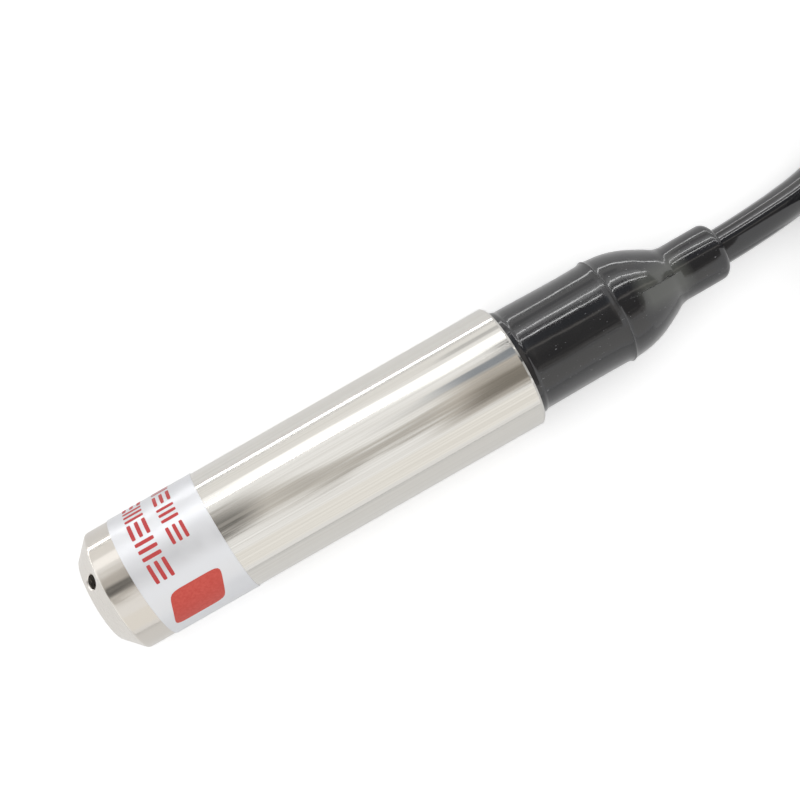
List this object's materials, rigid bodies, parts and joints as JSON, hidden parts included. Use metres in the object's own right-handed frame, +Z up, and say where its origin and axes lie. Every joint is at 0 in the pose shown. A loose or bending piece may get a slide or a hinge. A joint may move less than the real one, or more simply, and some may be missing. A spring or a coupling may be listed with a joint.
{
  "type": "submersible level transmitter",
  "caption": "Slim stainless steel submersible probe with a drilled conical nose, wrapped label band, moulded black cable boot and a vented cable wound into a tied hank.",
  "frame": {"origin": "bottom centre of the probe's bounding box without its cable, on the surface it lies on", "axes": "+X along the probe from the nose towards the cable, +Z up"},
  "size_m": [0.3092, 0.0726, 0.0414],
  "materials": {
    "polished_steel": "polished stainless steel tube, fine lengthwise grain",
    "satin_steel": "turned stainless steel, satin",
    "label_foil": "silver polyester foil label with plain red marks",
    "boot_rubber": "glossy black moulded rubber",
    "cable_jacket": "smooth black polyurethane jacket",
    "seal_rubber": "black nitrile rubber",
    "gland_brass": "turned brass",
    "board_laminate": "green glass-fibre laminate",
    "component_black": "moulded black epoxy",
    "component_blue": "moulded blue plastic",
    "capacitor_can": "drawn aluminium can",
    "holder_plastic": "white moulded plastic",
    "core_red": "red wire insulation",
    "core_black": "black wire insulation",
    "vent_nylon": "natural nylon capillary tube",
    "strap_fabric": "black woven hook-and-loop strap"
  },
  "bodies": {
    "root": {"nose_cap": "satin_steel", "probe_tube": "polished_steel", "nose_seal": "seal_rubber", "gland_seal": "seal_rubber", "cell_seal": "seal_rubber", "label_band": "label_foil", "sensor_cell": "satin_steel", "diaphragm": "polished_steel", "retaining_ring": "satin_steel", "cell_header": "satin_steel", "cell_vent_tube": "satin_steel", "signal_wire_1": "core_red", "signal_wire_2": "core_black", "signal_wire_3": "core_red", "signal_wire_4": "core_black", "front_board_holder": "holder_plastic", "rear_board_holder": "holder_plastic", "circuit_board": "board_laminate", "amplifier_chip": "component_black", "zero_trimmer": "component_blue", "span_trimmer": "component_blue", "loop_transistor": "component_black", "capacitor_1": "capacitor_can", "capacitor_2": "capacitor_can", "surge_arrester": "holder_plastic", "terminal_block": "component_blue", "terminal_screw_1": "satin_steel", "terminal_screw_2": "satin_steel", "insulating_sleeve": "holder_plastic", "gland_body": "gland_brass", "cable_grommet": "seal_rubber", "thrust_washer": "satin_steel", "gland_nut": "gland_brass", "cable_boot": "boot_rubber", "cable_inner": "cable_jacket", "cable_ferrule": "gland_brass", "inner_core_red": "core_red", "inner_core_black": "core_black", "vent_capillary": "vent_nylon", "cable_lead": "cable_jacket", "cable_hank": "cable_jacket", "hank_tie_1": "strap_fabric", "hank_tie_2": "strap_fabric", "end_core_red": "core_red", "end_core_black": "core_black", "end_vent_tube": "vent_nylon"}
  },
  "joints": []
}
